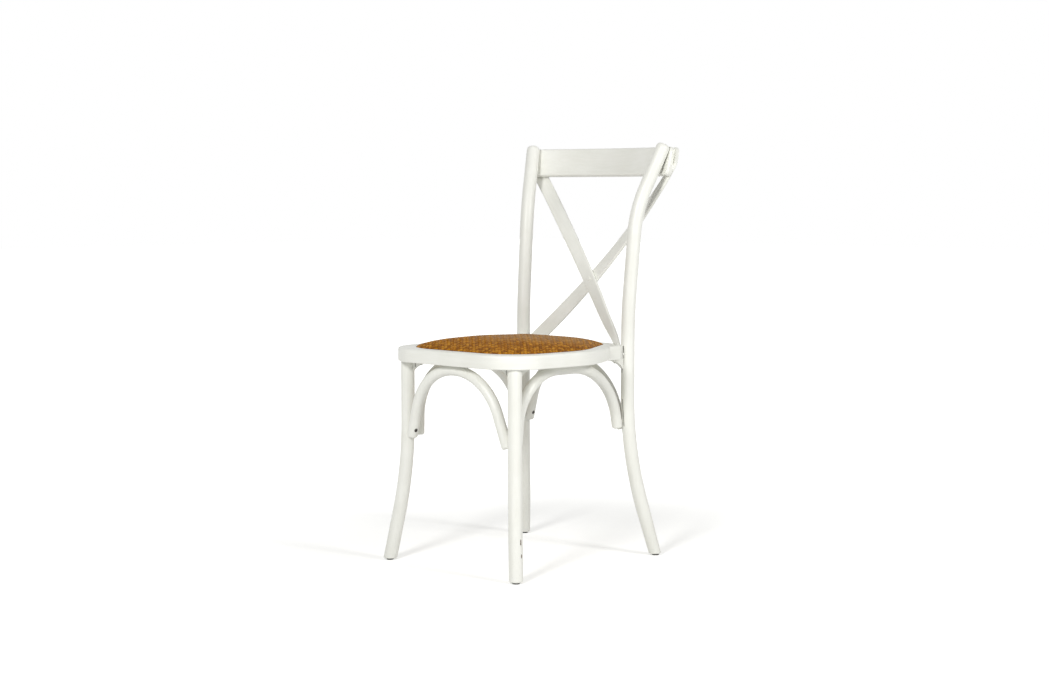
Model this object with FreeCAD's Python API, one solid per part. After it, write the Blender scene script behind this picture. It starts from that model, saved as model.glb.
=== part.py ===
import FreeCAD, Part
import math
import os

from FreeCAD import Vector

# A bentwood cross back chair with a woven seat. Millimetres, +Z up, the sitter looks along -Y.
# Right is +X, as seen from the front. While the chair is modelled, Y = 0 lies midway between the
# front legs and the rear posts. At the end it moves along Y, so that the origin lies on the floor
# under its middle.

# Overall
TOTAL_HEIGHT = 888.5
SEAT_HEIGHT = 457.0
FRONT_LEG_SPACING = 314.0
REAR_POST_SPACING = 308.0
LEG_DEPTH = 354.0
FIT_GAP = 0.3

# Front legs: upright at the seat, splayed along a level heading below it
LEG_RADIUS = 14.5
FRONT_SPLAY = 40.0
FRONT_SPLAY_HEADING = -43.0
FRONT_SPLAY_HEIGHT = 200.0
FRONT_SPLAY_REACH = 100.7

# Rear posts: legs below, back uprights above
POST_RADIUS = 14.8
REAR_SPLAY = 62.5
REAR_SPLAY_HEADING = 49.0
REAR_SPLAY_HEIGHT = 225.0
REAR_SPLAY_REACH = 121.3
REAR_STRAIGHT_RUN = 7.2
REAR_TOE_RADIUS = 12.6
LEAN_RISE = 63.0
LEAN_RADIUS = 1200.0
CREST_BEND_DROP = 143.5
CREST_BEND_OUT = 5.5
CREST_BEND_BACK = 18.7
CREST_BEND_RADIUS = 290.0
POST_TOP_OUT = 38.0
POST_TOP_BACK = 74.7
POST_TOP_ROUNDING = 9.0

# Feet
TOE_ROUNDING = 2.5
GLIDE_RADIUS = 7.5
GLIDE_HEIGHT = 3.5
GLIDE_EDGE_ROUNDING = 1.0
GLIDE_PIN_RADIUS = 1.5
GLIDE_PIN_LENGTH = 14.0

# Seat ring: corner points of its right half in plan, and the radius that rounds each
RING_THICKNESS = 29.0
RING_FRONT_Y = -220.5
RING_FRONT_CORNER_X = 188.7
RING_FRONT_CORNER_RADIUS = 95.0
RING_SIDE_CORNER_X = 212.5
RING_SIDE_CORNER_Y = 11.0
RING_SIDE_CORNER_RADIUS = 190.0
RING_REAR_Y = 193.0
RING_REAR_CORNER_X = 118.0
RING_REAR_CORNER_RADIUS = 70.0
RING_BAR_WIDTH = 76.0
RING_TOP_ROUNDING = 5.0
RING_BOTTOM_ROUNDING = 2.5
RING_INNER_RADIUS = 30.0
REBATE_INSET = 27.5
REBATE_FRONT_CORNER_RADIUS = 98.0
REBATE_DEPTH = 14.0

# Seat: plywood board and foam in the ring's rebate, woven cover drawn over both
BOARD_THICKNESS = 9.0
COVER_THICKNESS = 2.5
SEAT_CROWN = 20.5
SEAT_CENTRE_Y = -15.0
CROWN_POWER = 3.0
CROWN_SHOULDER = 0.8
CROWN_SHARES = (0.992, 0.975, 0.945, 0.9, 0.83, 0.73, 0.6, 0.43, 0.2)

# Spacer blocks between the ring's slanted sides and the posts
BLOCK_FRONT_Y = 93.0
BLOCK_OUTER_X = 163.5
BLOCK_SHOULDER_Y = 142.0
BLOCK_TOE_X = 151.0
BLOCK_HEEL_X = 143.0
BLOCK_HEEL_Y = 152.0
BLOCK_SEAT_DEPTH = 4.5
BLOCK_CORNER_ROUNDING = 9.0
BLOCK_EDGE_ROUNDING = 2.0

# Corner brackets under the ring: quarter fans round the legs, hollow below
BRACKET_REACH = 45.0
BRACKET_DROP = 22.0
BRACKET_RIM = 4.0
BRACKET_SAG = 3.5

# Bent arches between the legs, their crowns planed flat under the ring
ARCH_RADIUS = 11.5
ARCH_CROWN_FLAT = 0.8
ARCH_END_ROUNDING = 5.0
FRONT_ARCH_CROWN_RUN = 4.0
FRONT_ARCH_TILT = 18.0
FRONT_ARCH_DROP = 162.0
FRONT_ARCH_INWARD = 17.0
FRONT_ARCH_END_SHIFT = -4.0
FRONT_ARCH_CROWN_SHIFT = -15.5
REAR_ARCH_CROWN_RUN = 4.0
REAR_ARCH_TILT = 17.0
REAR_ARCH_DROP = 154.0
REAR_ARCH_INWARD = 16.0
REAR_ARCH_END_SHIFT = 1.0
REAR_ARCH_CROWN_SHIFT = -8.0
SIDE_ARCH_CROWN_START = -43.0
SIDE_ARCH_FRONT_TILT = 3.0
SIDE_ARCH_FRONT_DROP = 160.0
SIDE_ARCH_FRONT_INWARD = 19.5
SIDE_ARCH_CROWN_END = 4.0
SIDE_ARCH_REAR_TILT = 14.0
SIDE_ARCH_REAR_DROP = 149.0
SIDE_ARCH_REAR_INWARD = 21.5
SIDE_ARCH_END_SHIFT = -10.5
SIDE_ARCH_CROWN_SHIFT = -5.0

# Crest rail: a leaning board, bent round an upright axis in front of it
RAIL_MIDDLE_DROP = 38.0
RAIL_HEIGHT = 63.0
RAIL_THICKNESS = 17.0
RAIL_LEAN = 15.0
RAIL_RADIUS = 531.0
RAIL_CONTACT_RISE = 24.0
RAIL_SEAT_DEPTH = 1.0
RAIL_HALF_LENGTH = 208.0
RAIL_EDGE_ROUNDING = 4.5
RAIL_END_ROUNDING = 14.0

# Crossing strips: flat laths from the ring's rear corners to the far ends of the rail
STRIP_WIDTH = 30.0
STRIP_THICKNESS = 7.0
STRIP_EDGE_ROUNDING = 2.4
STRIP_FOOT_DROP = 5.0
STRIP_FOOT_TURN = 40.0
STRIP_TAIL = 11.0
STRIP_CROSS_SHARE = 0.365
STRIP_CROSS_Y = 230.0
STRIP_CROSS_LEAN = 16.2
STRIP_HEAD_DROP = 20.5
STRIP_HEAD_X = 191.5
STRIP_HEAD_TURN = 46.0
STRIP_TOP_RISE = 30.0
STRIP_TOP_X = 210.0
STRIP_END_OVERHANG = 7.0
STRIP_END_RISE = 4.0
STRIP_END_ROUNDING = 20.0
STRIP_STATIONS = 8

# Fasteners
SCREW_RADIUS = 2.0
SCREW_HEAD_RADIUS = 4.0
SCREW_HEAD_HEIGHT = 2.4
SCREW_SINK = 1.2
BOLT_RADIUS = 3.0
BOLT_CAP_RADIUS = 7.0
BOLT_CAP_HEIGHT = 3.0
BOLT_CAP_ROUNDING = 2.0
BOLT_DROP = 19.0
BOLT_LENGTH = 84.0
DOWEL_RADIUS = 6.0
DOWEL_LENGTH = 34.0
RIVET_RADIUS = 2.5
RIVET_HEAD_RADIUS = 4.5
RIVET_HEAD_HEIGHT = 1.6
ARCH_SCREW_RISE = 16.0
ARCH_SCREW_BITE = 12.0
CROWN_SCREW_BITE = 13.0
BRACKET_SCREW_REACH = 31.0
BRACKET_SCREW_BITE = 12.0
RAIL_SCREW_OFFSET = 15.0
RAIL_SCREW_BITE = 16.0
STRIP_SCREW_BITE = 10.0
SEAT_SCREW_X = 60.0
SEAT_SCREW_INSET = 52.0
SEAT_SCREW_BITE = 6.0
CROWN_SCREW_OFFSET = 13.0
BRACKET_SCREW_TURN = 22.5
BRACKET_SCREW_DROP = 11.0

# Sizes that follow from the ones above
RING_BOTTOM = SEAT_HEIGHT - RING_THICKNESS
REBATE_HEIGHT = SEAT_HEIGHT - REBATE_DEPTH
FRONT_Y = -LEG_DEPTH / 2
REAR_Y = LEG_DEPTH / 2
FRONT_X = FRONT_LEG_SPACING / 2
REAR_X = REAR_POST_SPACING / 2
CROWN_AXIS_HEIGHT = RING_BOTTOM - ARCH_RADIUS + ARCH_CROWN_FLAT
RAIL_MIDDLE_HEIGHT = TOTAL_HEIGHT - RAIL_MIDDLE_DROP
STRIP_FOOT_HEIGHT = SEAT_HEIGHT - STRIP_FOOT_DROP
STRIP_HEAD_HEIGHT = RAIL_MIDDLE_HEIGHT - STRIP_HEAD_DROP
STRIP_CROSS_HEIGHT = STRIP_FOOT_HEIGHT + STRIP_CROSS_SHARE * (STRIP_HEAD_HEIGHT - STRIP_FOOT_HEIGHT)
OVERSIZE = 4 * TOTAL_HEIGHT
LEVEL_TOLERANCE = 0.01
LEG_SEAM_TURN = 120.0
UP = Vector(0, 0, 1)
SIDES = (("left", -1), ("right", 1))


def unit(vector):
    return Vector(vector).normalize()


def heading(degrees):
    """Level direction, counted from +X towards +Y."""
    turn = math.radians(degrees)
    return Vector(math.cos(turn), math.sin(turn), 0)


def mirrored(shape, side):
    """The shape of the right side, or for the left side its mirror image."""
    return shape if side > 0 else shape.mirror(Vector(0, 0, 0), Vector(1, 0, 0))


def line(start, end):
    return Part.LineSegment(start, end).toShape()


def corner(before, point, after, radius):
    """Tangent arc that rounds one corner: its start, its edge and its end."""
    arriving = unit(point - before)
    leaving = unit(after - point)
    half_turn = arriving.getAngle(leaving) / 2
    reach = radius * math.tan(half_turn)
    start = point - arriving * reach
    end = point + leaving * reach
    middle = point + unit(leaving - arriving) * (radius / math.cos(half_turn) - radius)
    return start, Part.Arc(start, middle, end).toShape(), end


def rounded_path(points, radii):
    """Open path of straight runs joined by tangent arcs."""
    edges = []
    last = points[0]
    for index, radius in enumerate(radii, start=1):
        start, arc, end = corner(points[index - 1], points[index], points[index + 1], radius)
        edges += [line(last, start), arc]
        last = end
    edges.append(line(last, points[-1]))
    return Part.Wire(edges)


def rounded_outline(points, radii):
    """Closed outline of straight runs joined by tangent arcs."""
    following = points[1:] + points[:1]
    corners = [corner(points[i - 1], points[i], following[i], radius) for i, radius in enumerate(radii)]
    edges = []
    for index, (start, arc, end) in enumerate(corners):
        edges += [line(corners[index - 1][2], start), arc]
    return Part.Wire(edges)


def point_at_height(path, height):
    """Point and direction of a rising path where it passes a height."""
    level = Part.makePlane(2 * OVERSIZE, 2 * OVERSIZE, Vector(-OVERSIZE, -OVERSIZE, height))
    point = path.distToShape(level)[1][0][0]
    for edge in path.Edges:
        if edge.BoundBox.ZMin <= height <= edge.BoundBox.ZMax:
            return point, unit(edge.tangentAt(edge.Curve.parameter(point)))


def rod(path, radius, seam=0.0):
    """Round rod along a path, the seam of its round face turned by seam degrees."""
    first = path.OrderedEdges[0]
    start = path.OrderedVertexes[0].Point
    along = unit(first.tangentAt(first.Curve.parameter(start)))
    section = Part.Circle(start, along, radius).toShape()
    section.rotate(start, along, seam)
    return path.makePipeShell([Part.Wire(section)], True, False)


def cylinder(start, direction, radius, length):
    return Part.makeCylinder(radius, length, start, unit(direction))


def slab(wire, thickness):
    return Part.Face(wire).extrude(UP * thickness)


def block_from(height):
    """Everything above a height, as a block to cut with."""
    return Part.makeBox(OVERSIZE, OVERSIZE, OVERSIZE, Vector(-OVERSIZE / 2, -OVERSIZE / 2, height))


def rim_edges(shape, height):
    """Edges of a shape that lie level at a height."""
    return [edge for edge in shape.Edges
            if max(abs(edge.BoundBox.ZMin - height), abs(edge.BoundBox.ZMax - height)) < LEVEL_TOLERANCE]


def screw(seat, direction, length):
    """Countersunk screw, its flat head sunk below the surface at seat."""
    top = seat + unit(direction) * SCREW_SINK
    head = Part.makeCone(SCREW_HEAD_RADIUS, SCREW_RADIUS, SCREW_HEAD_HEIGHT, top, unit(direction))
    shank = cylinder(top + unit(direction) * SCREW_HEAD_HEIGHT, direction, SCREW_RADIUS, length)
    return head.fuse(shank).removeSplitter()


def screw_bore(seat, direction, length):
    """Room for that screw, open above its head."""
    along = unit(direction)
    wide = SCREW_HEAD_RADIUS + FIT_GAP
    narrow = SCREW_RADIUS + FIT_GAP
    mouth = cylinder(seat - along * SCREW_HEAD_RADIUS, along, wide, SCREW_HEAD_RADIUS + SCREW_SINK)
    sink = Part.makeCone(wide, narrow, SCREW_HEAD_HEIGHT, seat + along * SCREW_SINK, along)
    shank_start = seat + along * (SCREW_SINK + SCREW_HEAD_HEIGHT)
    shank = cylinder(shank_start, along, SCREW_RADIUS, length)
    return mouth.fuse([sink, shank])


# Legs and posts


def front_foot():
    return Vector(FRONT_X, FRONT_Y, 0) + heading(FRONT_SPLAY_HEADING) * FRONT_SPLAY


def rear_foot():
    return Vector(REAR_X, REAR_Y, 0) + heading(REAR_SPLAY_HEADING) * REAR_SPLAY


def bend_radius(before, point, after, reach):
    """Radius of the arc that rounds a corner from reach before it to reach after it."""
    return reach / math.tan(unit(point - before).getAngle(unit(after - point)) / 2)


def front_leg_path(overrun=0.0):
    """Centre line of the right front leg from the foot, carried past both ends by overrun."""
    axis = Vector(FRONT_X, FRONT_Y, 0)
    knee = axis + UP * FRONT_SPLAY_HEIGHT
    foot = front_foot()
    top = axis + UP * (RING_BOTTOM + overrun)
    radius = bend_radius(foot, knee, top, FRONT_SPLAY_REACH)
    return rounded_path([foot + unit(foot - knee) * overrun, knee, top], [radius])


def rear_taper_length():
    """Length of the tapered foot, up to the straight run below the post's lowest bend."""
    knee = Vector(REAR_X, REAR_Y, REAR_SPLAY_HEIGHT)
    return (knee - rear_foot()).Length - REAR_SPLAY_REACH - REAR_STRAIGHT_RUN


def rear_post_path(start_lift, overrun=0.0):
    """Centre line of the right rear post, from start_lift along it above the foot."""
    axis = Vector(REAR_X, REAR_Y, 0)
    knee = axis + UP * REAR_SPLAY_HEIGHT
    foot = rear_foot()
    waist = axis + UP * (SEAT_HEIGHT + LEAN_RISE)
    bend = axis + Vector(CREST_BEND_OUT, CREST_BEND_BACK, TOTAL_HEIGHT - CREST_BEND_DROP)
    top = axis + Vector(POST_TOP_OUT, POST_TOP_BACK, TOTAL_HEIGHT)
    rising = unit(top - bend)
    tilt = rising.getAngle(UP)
    flat = POST_RADIUS - POST_TOP_ROUNDING
    dome = flat * math.sin(tilt) + POST_TOP_ROUNDING * (1 - math.cos(tilt))
    top = top + rising * (overrun - dome / math.cos(tilt))
    points = [foot + unit(knee - foot) * start_lift, knee, waist, bend, top]
    splay_radius = bend_radius(foot, knee, waist, REAR_SPLAY_REACH)
    return rounded_path(points, [splay_radius, LEAN_RADIUS, CREST_BEND_RADIUS])


def upper_post_path(overrun=0.0):
    """The post's centre line above its tapered foot."""
    return rear_post_path(rear_taper_length(), overrun)


def level_foot(shape):
    """Foot sawn level at the glide's top, its edge rounded."""
    sawn = shape.cut(block_from(GLIDE_HEIGHT - OVERSIZE))
    return sawn.makeFillet(TOE_ROUNDING, rim_edges(sawn, GLIDE_HEIGHT))


def front_leg_blank():
    leg = rod(front_leg_path(LEG_RADIUS), LEG_RADIUS)
    return level_foot(leg.cut(block_from(RING_BOTTOM)))


def rear_post_blank():
    path = upper_post_path()
    upper = rod(path, POST_RADIUS)
    top = max(upper.Faces, key=lambda face: face.CenterOfMass.z)
    upper = upper.makeFillet(POST_TOP_ROUNDING, top.Edges)
    start = path.OrderedVertexes[0].Point
    down = unit(rear_foot() - start)
    taper = Part.makeCone(POST_RADIUS, REAR_TOE_RADIUS, rear_taper_length() + REAR_TOE_RADIUS, start, down)
    return level_foot(upper.fuse(taper))


def glide(foot):
    """Round glide, with the pin that holds it in the leg."""
    disc = cylinder(foot, UP, GLIDE_RADIUS, GLIDE_HEIGHT)
    disc = disc.makeFillet(GLIDE_EDGE_ROUNDING, rim_edges(disc, 0))
    return disc.fuse(cylinder(foot, UP, GLIDE_PIN_RADIUS, GLIDE_HEIGHT + GLIDE_PIN_LENGTH)).removeSplitter()


def glide_bore(foot):
    return cylinder(foot, UP, GLIDE_PIN_RADIUS, GLIDE_HEIGHT + GLIDE_PIN_LENGTH)


def leg_dowel(clearance=0.0):
    middle = Vector(FRONT_X, FRONT_Y, RING_BOTTOM)
    half = DOWEL_LENGTH / 2 + clearance
    return cylinder(middle - UP * half, UP, DOWEL_RADIUS + clearance, 2 * half)


# Seat ring, blocks and brackets


def plan_corners():
    """Corner points of the ring's outline in plan, anticlockwise, and their radii."""
    right = [(RING_FRONT_CORNER_X, RING_FRONT_Y), (RING_SIDE_CORNER_X, RING_SIDE_CORNER_Y),
             (RING_REAR_CORNER_X, RING_REAR_Y)]
    radii = [RING_FRONT_CORNER_RADIUS, RING_SIDE_CORNER_RADIUS, RING_REAR_CORNER_RADIUS]
    points = [Vector(x, y, 0) for x, y in right] + [Vector(-x, y, 0) for x, y in right[::-1]]
    return points, radii + radii[::-1]


def ring_outline(height, inset=0.0, front_radius=RING_FRONT_CORNER_RADIUS):
    """The ring's outline at a height, moved inwards by inset. The front corners' radius counts before it."""
    points, radii = plan_corners()
    radii[0] = radii[-1] = front_radius
    moved = []
    for index, point in enumerate(points):
        arriving = unit(point - points[index - 1])
        leaving = unit(points[(index + 1) % len(points)] - point)
        half_turn = arriving.getAngle(leaving) / 2
        inward = unit(leaving - arriving)
        moved.append(point + inward * (inset / math.cos(half_turn)) + UP * height)
    return rounded_outline(moved, [max(radius - inset, RING_INNER_RADIUS) for radius in radii])


def rear_corner_centre():
    """Centre of the arc that rounds the ring's right rear corner."""
    points, radii = plan_corners()
    arriving = unit(points[2] - points[1])
    leaving = unit(points[3] - points[2])
    half_turn = arriving.getAngle(leaving) / 2
    return points[2] + unit(leaving - arriving) * (RING_REAR_CORNER_RADIUS / math.cos(half_turn))


def rebate_outline(height, clearance=0.0):
    """The rebate's outline at a height, less a clearance all round."""
    return ring_outline(height, REBATE_INSET + clearance, REBATE_FRONT_CORNER_RADIUS + REBATE_INSET)


def ring_blank():
    blank = slab(ring_outline(RING_BOTTOM), RING_THICKNESS)
    blank = blank.makeFillet(RING_TOP_ROUNDING, rim_edges(blank, SEAT_HEIGHT))
    return blank.makeFillet(RING_BOTTOM_ROUNDING, rim_edges(blank, RING_BOTTOM))


def seat_ring():
    opening = slab(ring_outline(RING_BOTTOM - 1, RING_BAR_WIDTH), RING_THICKNESS)
    rebate = slab(rebate_outline(REBATE_HEIGHT), RING_THICKNESS)
    return ring_blank().cut([opening, rebate])


def rear_block():
    """Spacer that carries the right post on the ring's slanted side."""
    rear_y = REAR_Y - POST_RADIUS + BLOCK_SEAT_DEPTH
    inner_x = BLOCK_HEEL_X - POST_RADIUS
    plan = [(BLOCK_OUTER_X, BLOCK_FRONT_Y), (BLOCK_OUTER_X, BLOCK_SHOULDER_Y), (BLOCK_TOE_X, rear_y),
            (BLOCK_HEEL_X, rear_y), (inner_x, BLOCK_HEEL_Y), (inner_x, BLOCK_FRONT_Y)]
    radii = [BLOCK_EDGE_ROUNDING] * len(plan)
    radii[1] = BLOCK_CORNER_ROUNDING
    block = slab(rounded_outline([Vector(x, y, RING_BOTTOM) for x, y in plan], radii), RING_THICKNESS)
    ring = slab(ring_outline(RING_BOTTOM - 1), RING_THICKNESS + 2)
    post = cylinder(Vector(REAR_X, REAR_Y, 0), UP, POST_RADIUS + FIT_GAP, OVERSIZE)
    return block.cut([ring, post])


def bracket(x, y, radius, first_heading):
    """Quarter fan round a leg of that radius, from first_heading anticlockwise."""
    inner = radius + FIT_GAP
    top = RING_BOTTOM
    low = Vector(inner, 0, top - BRACKET_DROP)
    rim = Vector(BRACKET_REACH, 0, top - BRACKET_RIM)
    across = unit(rim - low)
    hollow = (low + rim) / 2 + Vector(-across.z, 0, across.x) * BRACKET_SAG
    upper = Vector(BRACKET_REACH, 0, top)
    inner_top = Vector(inner, 0, top)
    arc = Part.Arc(low, hollow, rim).toShape()
    profile = Part.Wire([arc, line(rim, upper), line(upper, inner_top), line(inner_top, low)])
    fan = Part.Face(profile).revolve(Vector(0, 0, 0), UP, 90)
    fan.rotate(Vector(0, 0, 0), UP, first_heading)
    fan.translate(Vector(x, y, 0))
    return fan


def bracket_screws(make, x, y, middle_heading):
    """Upright screws, or their bores, that hold a bracket under the ring."""
    turns = (middle_heading - BRACKET_SCREW_TURN, middle_heading + BRACKET_SCREW_TURN)
    seat = Vector(x, y, RING_BOTTOM - BRACKET_SCREW_DROP)
    length = BRACKET_SCREW_DROP + BRACKET_SCREW_BITE - SCREW_HEAD_HEIGHT - SCREW_SINK
    return [make(seat + heading(turn) * BRACKET_SCREW_REACH, UP, length) for turn in turns]


# Seat


def crown_rise(share, crown):
    """Rise of the pillow over its rim, at a share of the way from its centre to its rim."""
    return crown * (1 - share ** CROWN_POWER) ** CROWN_SHOULDER


def padded_form(clearance, base_height, rim_height, crown):
    """Upright sides from base to rim, a clearance inside the rebate, and over them a pillowed top."""
    outline = rebate_outline(rim_height, clearance)
    centre = Vector(0, SEAT_CENTRE_Y, rim_height)
    sections = [outline]
    for share in CROWN_SHARES:
        section = outline.copy()
        section.scale(share, centre)
        section.translate(UP * crown_rise(share, crown))
        sections.append(section)
    pillow = Part.makeLoft(sections, True, True)
    return slab(rebate_outline(base_height, clearance), rim_height - base_height).fuse(pillow)


def seat_board():
    return slab(rebate_outline(REBATE_HEIGHT, COVER_THICKNESS + 2 * FIT_GAP), BOARD_THICKNESS)


def seat_foam():
    return padded_form(COVER_THICKNESS + 2 * FIT_GAP, REBATE_HEIGHT + BOARD_THICKNESS + FIT_GAP,
                       SEAT_HEIGHT, SEAT_CROWN - COVER_THICKNESS - FIT_GAP)


def woven_seat():
    """Woven cover, drawn over the foam and down beside the board."""
    inner_gap = FIT_GAP + COVER_THICKNESS
    outer = padded_form(FIT_GAP, REBATE_HEIGHT + FIT_GAP, SEAT_HEIGHT, SEAT_CROWN)
    inner = padded_form(inner_gap, REBATE_HEIGHT - FIT_GAP, SEAT_HEIGHT, SEAT_CROWN - COVER_THICKNESS)
    return outer.cut(inner)


# Arches


def arch_limb(end, crown, tilt):
    """End and shoulder point of one arch limb, as (along, across, height); tilt leans it to the middle."""
    along, _, height = end
    lean = (CROWN_AXIS_HEIGHT - height) * math.tan(math.radians(tilt))
    shoulder = (along - math.copysign(lean, along), crown, CROWN_AXIS_HEIGHT)
    return [end, shoulder]


def level_arch(half_span, end_across, crown, height, tilt):
    """Points of an arch that spans X, end to end."""
    left = arch_limb((-half_span, end_across, height), crown, tilt)
    right = arch_limb((half_span, end_across, height), crown, tilt)
    return [Vector(*point) for point in left + right[::-1]]


def arch_body(points, crown_start, crown_end):
    """Bent rod with rounded ends, straight along its crown only from start to end, planed level on top."""
    spans = [(points[0], points[1], points[2], crown_start), (points[3], points[2], points[1], crown_end)]
    radii = []
    for end, shoulder, other, run_end in spans:
        half_turn = unit(shoulder - end).getAngle(unit(other - shoulder)) / 2
        along = unit(points[2] - points[1])
        radii.append(abs(run_end - shoulder.dot(along)) / math.tan(half_turn))
    path = rounded_path(points, radii)
    body = rod(path, ARCH_RADIUS)
    ends = [face for face in body.Faces if face.Surface.TypeId == "Part::GeomPlane"]
    body = body.makeFillet(ARCH_END_ROUNDING, [edge for face in ends for edge in face.Edges])
    return body.cut(block_from(RING_BOTTOM))


def front_arch_points():
    return level_arch(FRONT_X - FRONT_ARCH_INWARD, FRONT_Y + FRONT_ARCH_END_SHIFT,
                      FRONT_Y + FRONT_ARCH_CROWN_SHIFT, RING_BOTTOM - FRONT_ARCH_DROP, FRONT_ARCH_TILT)


def rear_arch_points():
    return level_arch(REAR_X - REAR_ARCH_INWARD, REAR_Y + REAR_ARCH_END_SHIFT,
                      REAR_Y + REAR_ARCH_CROWN_SHIFT, RING_BOTTOM - REAR_ARCH_DROP, REAR_ARCH_TILT)


def side_arch_points():
    """Points of the right side arch, from the front leg to the rear post."""
    end_x = REAR_X + SIDE_ARCH_END_SHIFT
    crown_x = REAR_X + SIDE_ARCH_CROWN_SHIFT
    front_end = (FRONT_Y + SIDE_ARCH_FRONT_INWARD, end_x, RING_BOTTOM - SIDE_ARCH_FRONT_DROP)
    rear_end = (REAR_Y - SIDE_ARCH_REAR_INWARD, end_x, RING_BOTTOM - SIDE_ARCH_REAR_DROP)
    front = arch_limb(front_end, crown_x, SIDE_ARCH_FRONT_TILT)
    rear = arch_limb(rear_end, crown_x, SIDE_ARCH_REAR_TILT)
    return [Vector(across, along, height) for along, across, height in front + rear[::-1]]


def end_screw(make, lower, upper, leg_path):
    """Screw, or its bore, through an arch's end into the leg beside it."""
    spot = lower + unit(upper - lower) * ARCH_SCREW_RISE
    leg, _ = point_at_height(leg_path, spot.z)
    inward = unit(leg - spot)
    length = 2 * ARCH_RADIUS + ARCH_SCREW_BITE - SCREW_SINK - SCREW_HEAD_HEIGHT
    return make(spot - inward * ARCH_RADIUS, inward, length)


def crown_screws(make, points):
    """Two upright screws, or their bores, through an arch's crown into the ring."""
    middle = (points[1] + points[2]) / 2
    step = unit(points[2] - points[1]) * CROWN_SCREW_OFFSET
    length = 2 * ARCH_RADIUS - ARCH_CROWN_FLAT + CROWN_SCREW_BITE - SCREW_SINK - SCREW_HEAD_HEIGHT
    return [make(middle + step * sign - UP * ARCH_RADIUS, UP, length) for sign in (-1, 1)]


# Crest rail


def rail_axis_y():
    """Y of the upright axis that the rail is bent round, so that it seats on the posts."""
    lean = math.tan(math.radians(RAIL_LEAN))
    seat, rising = point_at_height(upper_post_path(), RAIL_MIDDLE_HEIGHT + RAIL_CONTACT_RISE)
    post_back = seat.y + POST_RADIUS / math.cos(math.atan2(rising.y, rising.z))
    radius = RAIL_RADIUS + RAIL_CONTACT_RISE * lean
    return post_back - RAIL_SEAT_DEPTH - math.sqrt(radius ** 2 - seat.x ** 2)


def rail_end_cutter(low, high, overhang, rounding):
    """Upright block as long as the rail, and an overhang more at each end, its corners rounded."""
    half = RAIL_HALF_LENGTH + overhang
    face = [Vector(-half, 0, low), Vector(half, 0, low), Vector(half, 0, high), Vector(-half, 0, high)]
    outline = rounded_outline(face, [rounding] * 4)
    return Part.Face(outline).extrude(Vector(0, OVERSIZE, 0))


def rail_blank():
    """Leaning profile turned round the upright axis, cut to its rounded ends."""
    lean = math.radians(RAIL_LEAN)
    axis_y = rail_axis_y()
    up_board = Vector(0, math.sin(lean), math.cos(lean)) * (RAIL_HEIGHT / 2)
    through = Vector(0, math.cos(lean), -math.sin(lean)) * RAIL_THICKNESS
    front = Vector(0, axis_y + RAIL_RADIUS, RAIL_MIDDLE_HEIGHT)
    corners = [front - up_board, front - up_board + through, front + up_board + through, front + up_board]
    profile = Part.Face(Part.makePolygon(corners + corners[:1]))
    sweep = 2 * math.degrees(math.asin(RAIL_HALF_LENGTH / RAIL_RADIUS)) + 10
    axis = Vector(0, axis_y, 0)
    profile.rotate(axis, UP, -sweep / 2)
    board = profile.revolve(axis, UP, sweep)
    low = RAIL_MIDDLE_HEIGHT - up_board.z + through.z
    high = RAIL_MIDDLE_HEIGHT + up_board.z
    board = board.common(rail_end_cutter(low, high, 0, RAIL_END_ROUNDING)).removeSplitter()
    return board.makeFillet(RAIL_EDGE_ROUNDING, board.Edges)


def rail_rear(x, height):
    """Point on the rail's rear face at x and height, with its outward normal."""
    lean = math.radians(RAIL_LEAN)
    radius = RAIL_RADIUS + RAIL_THICKNESS / math.cos(lean) + (height - RAIL_MIDDLE_HEIGHT) * math.tan(lean)
    turn = math.asin(x / radius)
    point = Vector(x, rail_axis_y() + radius * math.cos(turn), height)
    normal = Vector(math.sin(turn) * math.cos(lean), math.cos(turn) * math.cos(lean), -math.sin(lean))
    return point, normal


def rail_screws(make):
    """Screws, or their bores, from behind through the rail into the right post."""
    lean = math.radians(RAIL_LEAN)
    post = upper_post_path()
    fall = RAIL_THICKNESS * math.sin(lean)
    length = RAIL_THICKNESS + RAIL_SCREW_BITE - SCREW_SINK - SCREW_HEAD_HEIGHT
    found = []
    for offset in (-RAIL_SCREW_OFFSET, RAIL_SCREW_OFFSET):
        height = RAIL_MIDDLE_HEIGHT + offset * math.cos(lean)
        axis_point, _ = point_at_height(post, height)
        point, _ = rail_rear(axis_point.x, height - fall)
        found.append(make(point, unit(axis_point - point), length))
    return found


# Crossing strips


def through_three(stations, height):
    """Smooth course through three (height, vector) stations."""
    total = Vector(0, 0, 0)
    for index, (own, value) in enumerate(stations):
        weight = 1.0
        for other_index, (other, _) in enumerate(stations):
            if other_index != index:
                weight *= (height - other) / (own - other)
        total += value * weight
    return total


def strip_course(offset):
    """Centre line and face normal stations of the strip from the right foot to the left head."""
    half = STRIP_THICKNESS / 2
    foot_turn = math.radians(STRIP_FOOT_TURN)
    foot_normal = Vector(math.sin(foot_turn), math.cos(foot_turn), 0)
    foot = rear_corner_centre() + foot_normal * (RING_REAR_CORNER_RADIUS + FIT_GAP + half)
    foot.z = STRIP_FOOT_HEIGHT
    lean = math.radians(STRIP_CROSS_LEAN)
    cross_normal = Vector(0, math.cos(lean), -math.sin(lean))
    cross = Vector(0, STRIP_CROSS_Y, STRIP_CROSS_HEIGHT) + cross_normal * offset
    head, head_normal = rail_rear(-STRIP_HEAD_X, STRIP_HEAD_HEIGHT)
    head = head + head_normal * (half + FIT_GAP)
    centres = [(foot.z, foot), (cross.z, cross), (head.z, head)]
    head_turn = math.radians(STRIP_HEAD_TURN)
    twisted = Vector(-math.sin(head_turn), math.cos(head_turn), 0)
    normals = [(foot.z, foot_normal), (cross.z, cross_normal), (head.z, twisted)]
    return centres, normals


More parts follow.
